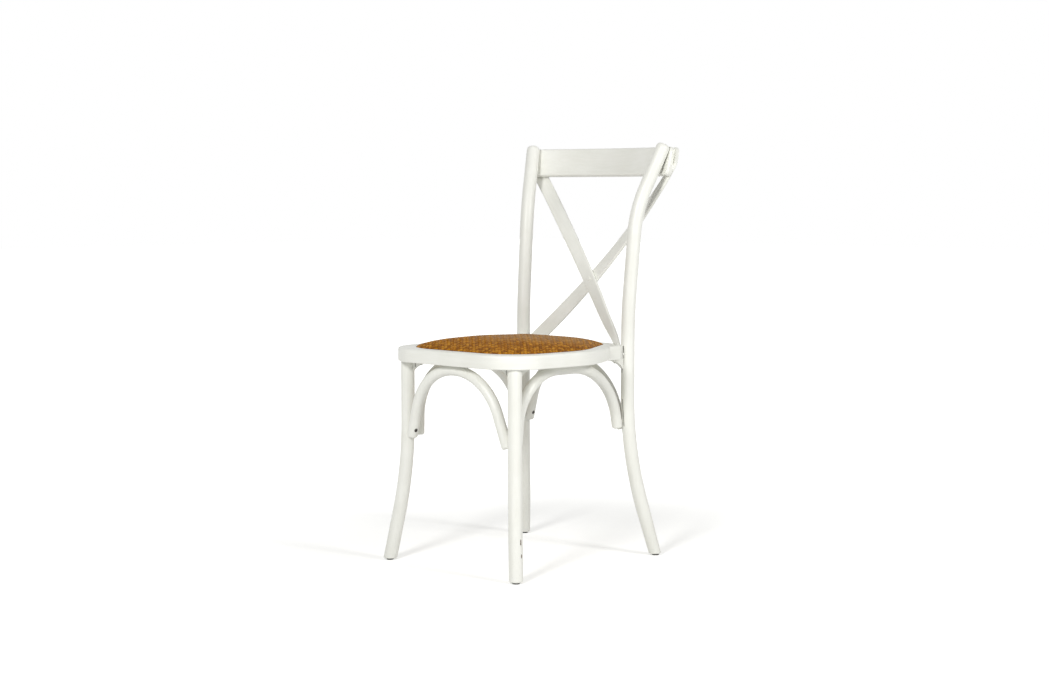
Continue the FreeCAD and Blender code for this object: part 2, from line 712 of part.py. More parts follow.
def strip_section(centre, along, normal):
    """Rounded rectangle across the strip."""
    normal = unit(normal - along * normal.dot(along))
    wide = along.cross(normal)
    half = STRIP_WIDTH / 2
    thick = STRIP_THICKNESS / 2
    signs = ((-1, -1), (1, -1), (1, 1), (-1, 1))
    corners = [centre + wide * (a * half) + normal * (b * thick) for a, b in signs]
    return rounded_outline(corners, [STRIP_EDGE_ROUNDING] * 4)


def strip_top():
    """Centre and face normal of the left head's end, flat on the rail's rear."""
    centre, normal = rail_rear(-STRIP_TOP_X, RAIL_MIDDLE_HEIGHT + STRIP_TOP_RISE)
    return centre + normal * (STRIP_THICKNESS / 2 + FIT_GAP), normal


def strip(offset):
    """Strip from the right foot to the left head, its end trimmed round the rail's."""
    centres, normals = strip_course(offset)
    low = centres[0][0]
    high = centres[2][0]
    sections = []
    for index in range(STRIP_STATIONS + 1):
        height = low + (high - low) * index / STRIP_STATIONS
        centre = through_three(centres, height)
        along = unit(through_three(centres, height + 1) - through_three(centres, height - 1))
        normal = through_three(normals, height)
        if index == 0:
            along = unit(along - normal * along.dot(normal))
            sections.append(strip_section(centre - along * STRIP_TAIL, along, normal))
        sections.append(strip_section(centre, along, normal))
    top, top_normal = strip_top()
    sections.append(strip_section(top, unit(top - centres[2][1]), top_normal))
    lath = Part.makeLoft(sections, True, False)
    high = RAIL_MIDDLE_HEIGHT + RAIL_HEIGHT / 2 * math.cos(math.radians(RAIL_LEAN)) + STRIP_END_RISE
    return lath.common(rail_end_cutter(0, high, STRIP_END_OVERHANG, STRIP_END_ROUNDING))


def strip_screws(make, offset):
    """Screws, or their bores, at a strip's foot and head."""
    centres, normals = strip_course(offset)
    length = STRIP_THICKNESS + STRIP_SCREW_BITE - SCREW_SINK - SCREW_HEAD_HEIGHT
    return [make(centre + normal * (STRIP_THICKNESS / 2), normal * -1, length)
            for (_, centre), (_, normal) in ((centres[0], normals[0]), (centres[2], normals[2]))]


def cross_rivet():
    """Rivet through both strips where they cross, with a flat head at each end."""
    _, normals = strip_course(0)
    normal = normals[1][1]
    middle = Vector(0, STRIP_CROSS_Y, STRIP_CROSS_HEIGHT)
    half = STRIP_THICKNESS + FIT_GAP
    body = cylinder(middle - normal * half, normal, RIVET_RADIUS, 2 * half)
    for outward in (normal * -1, normal):
        head = cylinder(middle + outward * half, outward, RIVET_HEAD_RADIUS, RIVET_HEAD_HEIGHT)
        rim = max(head.Edges, key=lambda edge: (edge.CenterOfMass - middle).dot(outward))
        body = body.fuse(head.makeFillet(RIVET_HEAD_HEIGHT / 2, [rim]))
    return body.removeSplitter()


# Post bolts


def post_bolt(clearance=0.0):
    """Domed bolt from behind the right post, through the block into the ring."""
    seat = Vector(REAR_X, REAR_Y + POST_RADIUS - BOLT_CAP_HEIGHT / 2, SEAT_HEIGHT - BOLT_DROP)
    forward = Vector(0, -1, 0)
    shank = cylinder(seat, forward, BOLT_RADIUS + clearance, BOLT_LENGTH + clearance)
    cap = cylinder(seat, forward * -1, BOLT_CAP_RADIUS + clearance, BOLT_CAP_HEIGHT)
    if clearance == 0:
        rear_edge = max(cap.Edges, key=lambda edge: edge.BoundBox.YMax)
        cap = cap.makeFillet(BOLT_CAP_ROUNDING, [rear_edge])
    return shank.fuse(cap).removeSplitter()


def seat_screws(make):
    """Screws, or their bores, from below through the ring's lip into the board."""
    length = REBATE_HEIGHT - RING_BOTTOM + SEAT_SCREW_BITE - SCREW_SINK - SCREW_HEAD_HEIGHT
    spots = [(x, y) for x in (-SEAT_SCREW_X, SEAT_SCREW_X)
             for y in (RING_FRONT_Y + SEAT_SCREW_INSET, RING_REAR_Y - SEAT_SCREW_INSET)]
    return [make(Vector(x, y, RING_BOTTOM), UP, length) for x, y in spots]


def both_sides(shapes):
    return shapes + [mirrored(shape, -1) for shape in shapes]


def arch_end_screws(make):
    """Right-hand end screws, or bores, of the arches: by front leg, then by rear post."""
    front = front_arch_points()
    rear = rear_arch_points()
    side = side_arch_points()
    leg = front_leg_path(LEG_RADIUS)
    post = rear_post_path(0)
    at_leg = [end_screw(make, front[3], front[2], leg), end_screw(make, side[0], side[1], leg)]
    at_post = [end_screw(make, rear[3], rear[2], post), end_screw(make, side[3], side[2], post)]
    return at_leg, at_post


def build():
    nodes = {}
    leg_blank = front_leg_blank()
    post_blank = rear_post_blank()
    leg_bores, post_bores = arch_end_screws(screw_bore)
    leg_screws, post_screws = arch_end_screws(screw)
    arch_bores = both_sides(leg_bores + post_bores)
    brackets = {"front": (FRONT_X, FRONT_Y, LEG_RADIUS, 90.0, 135.0),
                "rear": (REAR_X, REAR_Y, POST_RADIUS, 180.0, 225.0)}
    bracket_bores = []
    bracket_fixings = []
    for x, y, _, _, middle in brackets.values():
        bracket_bores += bracket_screws(screw_bore, x, y, middle)
        bracket_fixings += bracket_screws(screw, x, y, middle)

    leg = leg_blank.cut(leg_bores + [leg_dowel(), glide_bore(front_foot())])
    post_bores += [post_bolt(FIT_GAP), glide_bore(rear_foot())] + rail_screws(screw_bore)
    post = post_blank.cut(post_bores)
    strips = {"front": (-1, -(STRIP_THICKNESS + FIT_GAP) / 2), "rear": (1, (STRIP_THICKNESS + FIT_GAP) / 2)}
    strip_bores = both_sides(strip_screws(screw_bore, 0))
    rail_bores = both_sides(rail_screws(screw_bore)) + strip_bores
    post_rods = both_sides([rod(upper_post_path(POST_RADIUS), POST_RADIUS + FIT_GAP / 3)])

    ring = seat_ring()
    arches = {"front_arch": (front_arch_points(), FRONT_ARCH_CROWN_RUN / 2),
              "rear_arch": (rear_arch_points(), REAR_ARCH_CROWN_RUN / 2)}
    crown_bores = []
    crown_fixings = []
    for points in (front_arch_points(), rear_arch_points()):
        crown_bores += crown_screws(screw_bore, points)
        crown_fixings += crown_screws(screw, points)
    crown_bores += both_sides(crown_screws(screw_bore, side_arch_points()))
    crown_fixings += both_sides(crown_screws(screw, side_arch_points()))

    leg_space = both_sides([rod(front_leg_path(LEG_RADIUS), LEG_RADIUS + FIT_GAP / 3, LEG_SEAM_TURN),
                            rod(rear_post_path(0), POST_RADIUS + FIT_GAP / 3)])
    bores = arch_bores + crown_bores
    for name, (points, half_run) in arches.items():
        nodes[name] = arch_body(points, -half_run, half_run).cut(leg_space).cut(bores)
    side_arch = arch_body(side_arch_points(), SIDE_ARCH_CROWN_START, SIDE_ARCH_CROWN_END)
    side_arch = side_arch.cut(leg_space).cut(bores)

    ring_bores = crown_bores + both_sides(bracket_bores + [leg_dowel(), post_bolt(FIT_GAP)]) + strip_bores
    nodes["seat_ring"] = ring.cut(ring_bores + seat_screws(screw_bore))
    nodes["seat_board"] = seat_board().cut(seat_screws(screw_bore))
    nodes["seat_foam"] = seat_foam()
    nodes["woven_seat"] = woven_seat()
    rail = rail_blank()
    nodes["crest_rail"] = rail.cut(post_rods + rail_bores)
    rivet_hole = cross_rivet()
    for name, (side, offset) in strips.items():
        lath = strip(offset).cut(strip_screws(screw_bore, offset) + post_rods + [rivet_hole, rail])
        nodes["cross_strip_" + name] = mirrored(lath, -side)
    nodes["cross_rivet"] = cross_rivet()

    block = rear_block().cut([post_bolt(FIT_GAP)] + bracket_bores)
    for label, side in SIDES:
        nodes["front_leg_" + label] = mirrored(leg, side)
        nodes["rear_post_" + label] = mirrored(post, side)
        nodes["rear_block_" + label] = mirrored(block, side)
        nodes["side_arch_" + label] = mirrored(side_arch, side)
        nodes["post_bolt_" + label] = mirrored(post_bolt(), side)
        nodes["front_dowel_" + label] = mirrored(leg_dowel(), side)
        for end, (x, y, radius, first, _) in brackets.items():
            fan = bracket(x, y, radius, first).cut(bracket_bores)
            nodes[end + "_bracket_" + label] = mirrored(fan, side)
        nodes["front_glide_" + label] = mirrored(glide(front_foot()), side)
        nodes["rear_glide_" + label] = mirrored(glide(rear_foot()), side)

    nodes["arch_end_screws"] = Part.makeCompound(both_sides(leg_screws + post_screws))
    nodes["arch_crown_screws"] = Part.makeCompound(crown_fixings)
    nodes["bracket_screws"] = Part.makeCompound(both_sides(bracket_fixings))
    nodes["rail_screws"] = Part.makeCompound(both_sides(rail_screws(screw)))
    nodes["strip_screws"] = Part.makeCompound(both_sides(strip_screws(screw, 0)))
    nodes["seat_screws"] = Part.makeCompound(seat_screws(screw))
    return nodes


def main():
    os.makedirs("parts", exist_ok=True)
    nodes = build()
    box = Part.makeCompound(list(nodes.values())).optimalBoundingBox(False)
    for name, shape in nodes.items():
        shape.translate(Vector(0, -box.Center.y, 0))
        shape.exportStep(os.path.join("parts", name + ".step"))
        print(name, len(shape.Solids), round(shape.Volume), shape.isValid())
    print("box", box.XLength, box.YLength, box.ZLength, "moved", -box.Center.y)


main()
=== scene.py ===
"""Looks of a white bentwood cross back chair with a woven seat.

Metres and degrees, +Z up, the front of the chair towards -Y and its right side towards +X.
"""

import math
import bmesh
import bpy
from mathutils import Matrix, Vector
from mathutils.bvhtree import BVHTree


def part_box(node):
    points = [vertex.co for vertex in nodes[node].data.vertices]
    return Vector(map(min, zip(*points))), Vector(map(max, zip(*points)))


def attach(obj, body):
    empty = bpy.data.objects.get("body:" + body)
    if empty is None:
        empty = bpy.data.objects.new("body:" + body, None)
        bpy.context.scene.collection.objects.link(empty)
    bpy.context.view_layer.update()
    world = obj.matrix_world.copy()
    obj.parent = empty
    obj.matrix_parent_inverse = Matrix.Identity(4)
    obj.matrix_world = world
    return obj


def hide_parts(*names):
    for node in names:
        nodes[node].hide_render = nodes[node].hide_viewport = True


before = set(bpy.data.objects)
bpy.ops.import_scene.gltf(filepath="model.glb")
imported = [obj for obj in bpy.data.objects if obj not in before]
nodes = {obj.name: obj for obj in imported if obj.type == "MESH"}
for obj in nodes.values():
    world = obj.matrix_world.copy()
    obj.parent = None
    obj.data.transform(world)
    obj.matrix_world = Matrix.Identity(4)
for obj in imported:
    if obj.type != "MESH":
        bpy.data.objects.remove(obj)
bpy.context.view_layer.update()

# The photograph's view: a long lens at the front right, a little above the seat
CAMERA_PLACE = (2.76628, -2.95713, 0.78389)
CAMERA_AZIMUTH = 43.367
CAMERA_FALL = 4.787
PHOTO_WIDTH = 1049.0
FOCAL_PIXELS = 1890.6
SENSOR_WIDTH = 36.0
VIEW_END = 60.0

# Soft boxes: name, degrees right of the camera, degrees above the floor, distance, width, watts
SOFT_BOXES = (
    ("left_box", -24, 25, 3.0, 0.6, 43.0),
    ("right_box", 50, 22, 3.0, 0.7, 33.0),
)
CHAIR_MIDDLE = (0.0, 0.0, 0.45)
ROOM_LIGHT = 0.35
ROOM_COLOUR = (1.0, 1.0, 0.985, 1.0)
PURE_WHITE = (1.0, 1.0, 1.0, 1.0)

# The floor glows only where it is seen, weakly under the chair and up to white further off
FLOOR_SIZE = 40.0
FLOOR_COLOUR = (0.86, 0.86, 0.85, 1.0)
FLOOR_GLOW_COLOUR = (1.0, 1.0, 0.99, 1.0)
FLOOR_GLOW = 0.42
FLOOR_GLOW_RISE = 0.6
FLOOR_RISE_FROM = 0.38
FLOOR_RISE_TO = 1.4

# Colours as a colour picker gives them, 0 to 255
PAINT_SHADE = (231, 231, 223)
PAINT_LIGHT = (240, 240, 234)
FILLED_SCREW = (228, 228, 220)
SCUFF = (176, 170, 156)
GRIME = (200, 196, 184)
JOINT_SHADOW = (66, 60, 52)
BARE_CHIP = (92, 74, 56)
# Warp and weft are one cane, the warp painted darker as shade and the weft lighter as light
SHADED_WARP_CANE = ((118, 66, 3), (150, 92, 8))
LIT_WEFT_CANE = ((134, 78, 3), (166, 104, 12))
CANE_FIBRE = (196, 134, 40)
CANE_PATCH = (116, 62, 8)
CANE_FLECK = (222, 160, 62)
CANE_KNOT = (64, 30, 2)
PALE_FLOAT = (222, 160, 52)
DARK_FLOAT = (84, 42, 2)
# Painted shade at the ends of each float, where the strand dips under its neighbours
CANE_DIP_SHADE = (74, 38, 2)
# Paler cane round the middle of the seat, partly wear and partly painted sheen
CANE_WEAR_AND_SHEEN = (166, 144, 112)
# Painted shade of the gaps between the strands of the seat
GAP_SHADE_DARK = (48, 26, 8)
GAP_SHADE_LIGHT = (88, 50, 18)
WOOD_DARK = (196, 162, 118)
WOOD_LIGHT = (222, 194, 150)
WOOD_PORE = (150, 112, 72)
FOAM_DARK = (206, 196, 170)
FOAM_LIGHT = (232, 226, 206)
PLASTIC_DARK = (44, 42, 40)
PLASTIC_LIGHT = (72, 68, 64)
STEEL_DARK = (70, 68, 66)
STEEL_LIGHT = (128, 124, 120)
BLUED_DARK = (52, 50, 48)
BLUED_LIGHT = (104, 100, 96)

# Linear colour of the cane's soft sheen
SHEEN_TINT = (1.0, 0.86, 0.68, 1.0)

# Paint: how far grain and layers stretch, how shiny it is, and how high the feet are scuffed.
# The grain of the back strips leans as they do.
GRAIN_STRETCH = 0.03
BRUSH_SHIFT = (0.7, 0.3, 0.1)
LAYER_STRETCH = (0.05, 0.05, 1.0)
BROAD_LAYER_STRETCH = (0.08, 0.08, 1.0)
PAINT_SPECULAR = 0.42
SCUFF_HEIGHT = 0.14
STRIP_LEAN = 38

# Chips in the paint of the right front leg, ragged ovals that stand upright, and where they
# fade, as shares of their radius
LEG_CHIPS = (
    (0.1886, -0.2386, 0.0850),
    (0.1893, -0.2391, 0.0795),
    (0.1924, -0.2409, 0.0555),
)
CHIP_RADIUS = 0.0026
CHIP_STRETCH = 2.2
CHIP_CORE = 0.5
CHIP_EDGE = 0.75
CHIP_RAGGED = 0.004
CHIP_DEPTH = 1.5

# Painted shade for the joints: dark lines where pieces meet, both ends and width, the same on both
# sides
JOINT_SHADE_LINES = (
    # End of the block beside the rear post
    ((0.1568, 0.1100, 0.4520), (0.1568, 0.1100, 0.4290), 0.0011),
    # Block and bracket against the rear post
    ((0.1545, 0.1166, 0.4540), (0.1500, 0.1170, 0.3990), 0.0019),
    # Side arch against the rear post
    ((0.1521, 0.1164, 0.3400), (0.1554, 0.1179, 0.2830), 0.0016),
    # Inner edge of the front bracket
    ((0.1335, -0.2228, 0.4270), (0.1335, -0.2228, 0.4020), 0.0015),
    # Crest rail against the rear post
    ((0.1985, 0.2115, 0.8745), (0.1860, 0.2024, 0.8250), 0.0015),
)
JOINT_RAGGED = 0.0012
JOINT_STRENGTH = 0.75
# Where the lines fade, as shares of their width
JOINT_CORE = 0.4
JOINT_EDGE = 1.2

# Screws at the ends of the arches are filled over with paint to the right of this place
FILLED_FROM = 0.05
FILLED_TO = 0.06

# Woven cane of the seat, a two by two twill that repeats after four strands
STRAND_PITCH = 0.0046
STRAND_FILL = 0.88
STRAND_THICKNESS = 0.0013
STRAND_WAVE = 0.0008
STRAND_STEP = 0.0021
STRAND_SLACK = 0.0003
SHORTEST_STRAND = 4 * STRAND_PITCH
# Places across a strand, up over its arch and back below to where it began
STRAND_PROFILE = (-1.0, -0.5, 0.0, 0.5, 1.0, -1.0)
REPEAT = 4
WAVE_FLATNESS = 1.5
# Strands along X are on top where the wave is above 0, and those along Y where it is below
TOP_SIGN = {"X": 1, "Y": -1}
TUCK_DEPTH = 0.003
TUCK_LENGTH = 0.003

# The cane is paler round the middle of the seat, partly from wear and partly as a painted sheen of
# light glancing off it
SEAT_MIDDLE = (0.0, 0.01, 0.475)
WEAR_AND_SHEEN_FROM = 0.07
WEAR_AND_SHEEN_TO = 0.19

# How far the pad lies below the cover. It starts to sink above its rim, and is at full depth
# after a share of the height from there to the crown.
PAD_SINK = 0.0022
PAD_RIM = 0.012
PAD_SINK_SHARE = 0.3

# How the top and the rim of the seat are found, by rays from above
RAY_START = 1.0
BEYOND_SEAT = 0.4
RIM_PRECISION = 0.0001
DRAW_IN_STEP = 0.001

# Outer corner of the back strips' heads, rounded by flat cuts, and how the heads lean to the rail
HEAD_ARC_X = 0.1995
HEAD_ARC_Z = 0.8635
HEAD_ARC_RADIUS = 0.0155
HEAD_CUTS = 7
HEAD_FROM = 0.838
HEAD_TO = 0.872
HEAD_LEAN_IN = 0.0038

# Faces that turn by more than this many degrees meet in a sharp edge
SHARP_ANGLE = 32

# Points closer than this are joined, in copies of CAD nodes and along seams
CAD_MERGE = 0.00002
SEAM_MERGE = 0.000001

# Sockets of the Mix node when it mixes colours
MIX_SHARE, MIX_FIRST, MIX_SECOND, MIX_RESULT = 0, 6, 7, 2


class Field:
    """A value that varies over a surface. Sums and products of fields add Math nodes."""

    def __init__(self, finish, socket):
        self.finish = finish
        self.socket = socket

    def _with(self, operation, first, second):
        return self.finish.node("ShaderNodeMath", {"operation": operation}, {0: first, 1: second})

    def __add__(self, other):
        return self._with("ADD", self, other)

    def __radd__(self, other):
        return self._with("ADD", other, self)

    def __sub__(self, other):
        return self._with("SUBTRACT", self, other)

    def __rsub__(self, other):
        return self._with("SUBTRACT", other, self)

    def __mul__(self, other):
        return self._with("MULTIPLY", self, other)

    def __rmul__(self, other):
        return self._with("MULTIPLY", other, self)

    def __truediv__(self, other):
        return self._with("DIVIDE", self, other)

    def unsigned(self):
        return self._with("ABSOLUTE", self, 0.0)

    def whole(self):
        return self._with("FLOOR", self, 0.0)

    def at_most(self, other):
        return self._with("MINIMUM", self, other)

    def at_least(self, other):
        return self._with("MAXIMUM", self, other)

    def between(self, low, high):
        """0 below low, 1 above high, and smooth in between."""
        settings = {"interpolation_type": "SMOOTHSTEP"}
        values = {"Value": self, "From Min": low, "From Max": high, "To Min": 0.0, "To Max": 1.0}
        return self.finish.node("ShaderNodeMapRange", settings, values)


class Finish:
    """One material, its surface a Principled BSDF."""

    def __init__(self, name):
        self.material = bpy.data.materials.new(name)
        self.material.use_nodes = True
        self.tree = self.material.node_tree
        self.surface = self.tree.nodes["Principled BSDF"]

    def feed(self, socket, value):
        if isinstance(value, Field):
            self.tree.links.new(value.socket, socket)
        else:
            socket.default_value = value

    def node(self, kind, settings=None, values=None, output=0):
        made = self.tree.nodes.new(kind)
        for key, value in (settings or {}).items():
            setattr(made, key, value)
        for key, value in (values or {}).items():
            self.feed(made.inputs[key], value)
        return Field(self, made.outputs[output])

    def place(self, scale=(1, 1, 1), turn=(0, 0, 0), shift=(0, 0, 0)):
        """Object coordinates, turned and shifted, and then stretched."""
        place = self.node("ShaderNodeTexCoord", output="Object")
        place = self.node("ShaderNodeMapping",
                          values={"Vector": place, "Rotation": turn, "Location": shift})
        return self.node("ShaderNodeMapping", values={"Vector": place, "Scale": scale})

    def axis(self, name):
        """One object coordinate by itself."""
        return self.node("ShaderNodeSeparateXYZ", values={"Vector": self.place()}, output=name)

    def noise(self, place, scale, detail=3.0, roughness=0.5, distortion=0.0):
        values = {"Vector": place, "Scale": scale, "Detail": detail, "Roughness": roughness,
                  "Distortion": distortion}
        return self.node("ShaderNodeTexNoise", values=values, output="Fac")

    def mix(self, share, first, second):
        """Colour that goes from first to second, each a field or a picked colour."""
        first, second = (end if isinstance(end, Field) else linear(end) for end in (first, second))
        values = {MIX_SHARE: share, MIX_FIRST: first, MIX_SECOND: second}
        return self.node("ShaderNodeMix", {"data_type": "RGBA"}, values, MIX_RESULT)

    def lay_over(self, base, tone, where, strength=1.0):
        """A colour with a tone laid over it where a field is high."""
        return self.mix(where * strength, base, tone)

    def vector(self, operation, first, second=(0, 0, 0), output="Vector"):
        settings = {"operation": operation}
        return self.node("ShaderNodeVectorMath", settings, {0: first, 1: second}, output)

    def distance(self, place, spot):
        return self.vector("DISTANCE", place, spot, "Value")

    def off_line(self, place, start, end):
        """Distance from the straight line between two points."""
        run = Vector(end) - Vector(start)
        share = self.vector("DOT_PRODUCT", self.vector("SUBTRACT", place, start), run, "Value")
        share = (share / run.length_squared).at_least(0.0).at_most(1.0)
        along = self.node("ShaderNodeVectorMath", {"operation": "SCALE"}, {0: run, "Scale": share})
        return self.distance(place, self.vector("ADD", start, along))

    def bump(self, height, depth, strength=1.0):
        values = {"Height": height, "Distance": depth, "Strength": strength}
        return self.node("ShaderNodeBump", values=values, output="Normal")

    def show(self, **values):
        """Values or fields of the surface, named as its sockets are, spaces as underscores."""
        for key, value in values.items():
            self.feed(self.surface.inputs[key.replace("_", " ")], value)
        return self.material


def linear(picked):
    """Linear colour from the values of a colour picker."""
    return (*(((value / 255 + 0.055) / 1.055) ** 2.4 for value in picked), 1.0)


# Finishes


def stretched(axis, share):
    """Scale of a pattern that is drawn out along one axis."""
    return tuple(share if name == axis else 1.0 for name in "XYZ")


def painted_joint_shade(finish, base, ragged):
    """Draws the painted shade of the joints over a colour, the left side as the mirror of the
    right.
    """
    values = {"X": finish.axis("X").unsigned(), "Y": finish.axis("Y"), "Z": finish.axis("Z")}
    mirrored = finish.node("ShaderNodeCombineXYZ", values=values)
    for start, end, width in JOINT_SHADE_LINES:
        away = finish.off_line(mirrored, start, end) + JOINT_RAGGED * (ragged - 0.5)
        line = 1 - away.between(JOINT_CORE * width, JOINT_EDGE * width)
        base = finish.lay_over(base, JOINT_SHADOW, line, JOINT_STRENGTH)
    return base


def painted_wood(name, turn=(0, 0, 0), along="Z", chips=()):
    """Satin white paint over beech. The grain shows faintly through, along an axis."""
    finish = Finish(name)
    stretch = stretched(along, GRAIN_STRETCH)
    grain = finish.noise(finish.place(stretch, turn), scale=620.0, detail=4.0, roughness=0.6,
                         distortion=0.4)
    brush = finish.noise(finish.place(stretch, turn, BRUSH_SHIFT), scale=160.0, detail=2.0)
    cloud = finish.noise(finish.place(), scale=14.0, detail=2.0)
    dust = finish.noise(finish.place(), scale=260.0, roughness=0.65)
    tone = (0.45 * cloud + 0.25 * brush + 0.3 * grain).between(0.3, 0.7)
    base = finish.mix(tone, PAINT_SHADE, PAINT_LIGHT)
    scuff = dust.between(0.6, 0.72) * (1 - finish.axis("Z").between(0.0, SCUFF_HEIGHT))
    base = finish.lay_over(base, SCUFF, scuff, strength=0.35)
    # Painted shade in the joints where pieces meet
    base = painted_joint_shade(finish, base, dust)
    relief = 0.55 * grain + 0.35 * brush + 0.1 * dust
    for x, y, z in chips:
        flattened = finish.place((1, 1, 1 / CHIP_STRETCH))
        away = finish.distance(flattened, (x, y, z / CHIP_STRETCH)) + CHIP_RAGGED * (dust - 0.5)
        chip = 1 - away.between(CHIP_CORE * CHIP_RADIUS, CHIP_EDGE * CHIP_RADIUS)
        base = finish.lay_over(base, BARE_CHIP, chip)
        relief = relief - CHIP_DEPTH * chip
    return finish.show(
        Base_Color=base, Roughness=0.33 + 0.12 * brush + 0.12 * scuff,
        Specular_IOR_Level=PAINT_SPECULAR, Normal=finish.bump(relief, 0.00022, 0.55))


def painted_layers(name):
    """White paint over laminated wood, its layers showing as faint level lines."""
    finish = Finish(name)
    layers = finish.noise(finish.place(LAYER_STRETCH), scale=520.0, roughness=0.6, distortion=0.2)
    broad = finish.noise(finish.place(BROAD_LAYER_STRETCH), scale=130.0, detail=2.0)
    cloud = finish.noise(finish.place(), scale=16.0, detail=2.0)
    dust = finish.noise(finish.place(), scale=260.0, roughness=0.65)
    tone = (0.4 * cloud + 0.3 * broad + 0.3 * layers).between(0.3, 0.7)
    base = finish.mix(tone, PAINT_SHADE, PAINT_LIGHT)
    base = finish.lay_over(base, GRIME, dust.between(0.64, 0.76), strength=0.18)
    # Painted shade in the joints where pieces meet
    base = painted_joint_shade(finish, base, dust)
    relief = 0.55 * layers + 0.3 * broad + 0.15 * dust
    return finish.show(
        Base_Color=base, Roughness=0.33 + 0.12 * broad + 0.06 * dust,
        Specular_IOR_Level=PAINT_SPECULAR, Normal=finish.bump(relief, 0.00025, 0.55))


def floats_of_weave(finish, axis):
    """Place along each stretch of strand on top, 0.5 at its middle, and the stretch's own tone."""
    x, y = finish.axis("X"), finish.axis("Y")
    run, beside = (x, y) if axis == "X" else (y, x)
    strand = (beside / STRAND_PITCH + 0.5).whole()
    quarter = TOP_SIGN[axis] * REPEAT / 4
    count = (run / STRAND_PITCH + strand + 0.5 + quarter) / REPEAT
    stretch = finish.node("ShaderNodeCombineXYZ", values={"X": strand, "Y": count.whole()})
    tone = finish.node("ShaderNodeTexWhiteNoise", {"noise_dimensions": "3D"}, {"Vector": stretch},
                       "Value")
    return count - count.whole(), tone


def woven_cane(name, axis, shades):
    """Golden brown peeled cane, streaked along the strand, with tones that follow the weave."""
    finish = Finish(name)
    share, tone = floats_of_weave(finish, axis)
    # Painted shade towards both ends of each float, where it dips under its neighbours
    dip_shade = (share - 0.5).unsigned().between(0.15, 0.27)
    fibre = finish.noise(finish.place(stretched(axis, 0.06)), scale=900.0, roughness=0.6)
    batch_stretch = (*stretched(axis, 0.05)[:2], 0.2)
    batch = finish.noise(finish.place(batch_stretch), scale=190.0, detail=2.0, roughness=0.6)
    patch = finish.noise(finish.place(), scale=60.0, roughness=0.6)
    knot = finish.noise(finish.place(), scale=175.0, detail=2.0, roughness=0.6)
    fleck = finish.noise(finish.place(shift=(0.4, 0.2, 0.0)), scale=200.0, detail=2.0,
                         roughness=0.6)
    # Partly wear and partly painted sheen: paler round the middle of the seat
    wear_and_sheen = 1 - finish.distance(finish.place(), SEAT_MIDDLE).between(WEAR_AND_SHEEN_FROM, WEAR_AND_SHEEN_TO)
    base = finish.mix(batch.between(0.36, 0.64), *shades)
    for mark, where, strength in (
        (CANE_FIBRE, fibre.between(0.35, 0.7), 0.3),
        (CANE_PATCH, patch.between(0.5, 0.7), 0.3),
        (CANE_FLECK, fleck.between(0.5, 0.64), 0.35),
        (CANE_KNOT, knot.between(0.52, 0.64), 0.45),
        (PALE_FLOAT, tone.between(0.5, 0.95), 0.45),
        (DARK_FLOAT, 1 - tone.between(0.05, 0.45), 0.4),
        # Painted shade where the strand dips under its neighbours
        (CANE_DIP_SHADE, dip_shade, 0.5),
        # Partly wear and partly painted sheen round the middle of the seat
        (CANE_WEAR_AND_SHEEN, wear_and_sheen, 0.34),
    ):
        base = finish.lay_over(base, mark, where, strength)
    return finish.show(
        Base_Color=base, Roughness=0.46 + 0.2 * fibre, Specular_IOR_Level=0.05,
        Sheen_Weight=0.08, Sheen_Roughness=0.45, Sheen_Tint=SHEEN_TINT,
        Normal=finish.bump(fibre + 0.4 * knot, 0.00012, 0.6))


def dark_weave(name):
    """What shows between the strands: a dark sheet of painted shade."""
    finish = Finish(name)
    gap_noise = finish.noise(finish.place(), scale=700.0)
    return finish.show(
        Base_Color=finish.mix(gap_noise, GAP_SHADE_DARK, GAP_SHADE_LIGHT),
        Roughness=0.75 + 0.1 * gap_noise, Specular_IOR_Level=0.05,
        Normal=finish.bump(gap_noise, 0.0002))


def bare_wood(name):
    """Unpainted wood of the seat board and the dowels."""
    finish = Finish(name)
    figure = finish.noise(finish.place(stretched("Y", 0.05)), scale=120.0, detail=4.0,
                          roughness=0.6, distortion=0.8)
    pore = finish.noise(finish.place(stretched("Y", 0.04)), scale=900.0, detail=2.0)
    base = finish.mix(figure.between(0.3, 0.7), WOOD_DARK, WOOD_LIGHT)
    base = finish.lay_over(base, WOOD_PORE, pore.between(0.58, 0.7), strength=0.5)
    return finish.show(Base_Color=base, Roughness=0.6 + 0.15 * pore,
                       Normal=finish.bump(pore, 0.00015))


def foam(name):
    finish = Finish(name)
    cell = finish.noise(finish.place(), scale=900.0, roughness=0.7)
    return finish.show(Base_Color=finish.mix(cell, FOAM_DARK, FOAM_LIGHT),
                       Roughness=0.9 - 0.05 * cell, Normal=finish.bump(cell, 0.0004))


def dark_plastic(name):
    finish = Finish(name)
    scratch = finish.noise(finish.place(), scale=420.0, detail=4.0, roughness=0.7)
    base = finish.mix(scratch.between(0.4, 0.7), PLASTIC_DARK, PLASTIC_LIGHT)
    return finish.show(Base_Color=base, Roughness=0.5 + 0.2 * scratch,
                       Normal=finish.bump(scratch, 0.0001))


def steel(name):
    """Steel of the screws under the seat, dulled in places."""
    finish = Finish(name)
    dull = finish.noise(finish.place(), scale=380.0, detail=4.0, roughness=0.65)
    fine = finish.noise(finish.place(), scale=1600.0, detail=2.0)
    base = finish.mix(dull.between(0.35, 0.65), STEEL_DARK, STEEL_LIGHT)
    return finish.show(Base_Color=base, Metallic=1.0, Roughness=0.34 + 0.25 * dull,
                       Normal=finish.bump(fine, 0.00005))


def part_painted_steel(name):
    """Dark steel screws, those on the right side of the chair filled over with paint."""
    finish = Finish(name)
    dull = finish.noise(finish.place(), scale=380.0, detail=4.0, roughness=0.65)
    painted = finish.axis("X").between(FILLED_FROM, FILLED_TO)
    metal = finish.mix(dull.between(0.35, 0.65), BLUED_DARK, BLUED_LIGHT)
    return finish.show(
        Base_Color=finish.lay_over(metal, FILLED_SCREW, painted), Metallic=1 - painted,
        Roughness=0.36 + 0.22 * dull, Normal=finish.bump(dull, 0.00006))


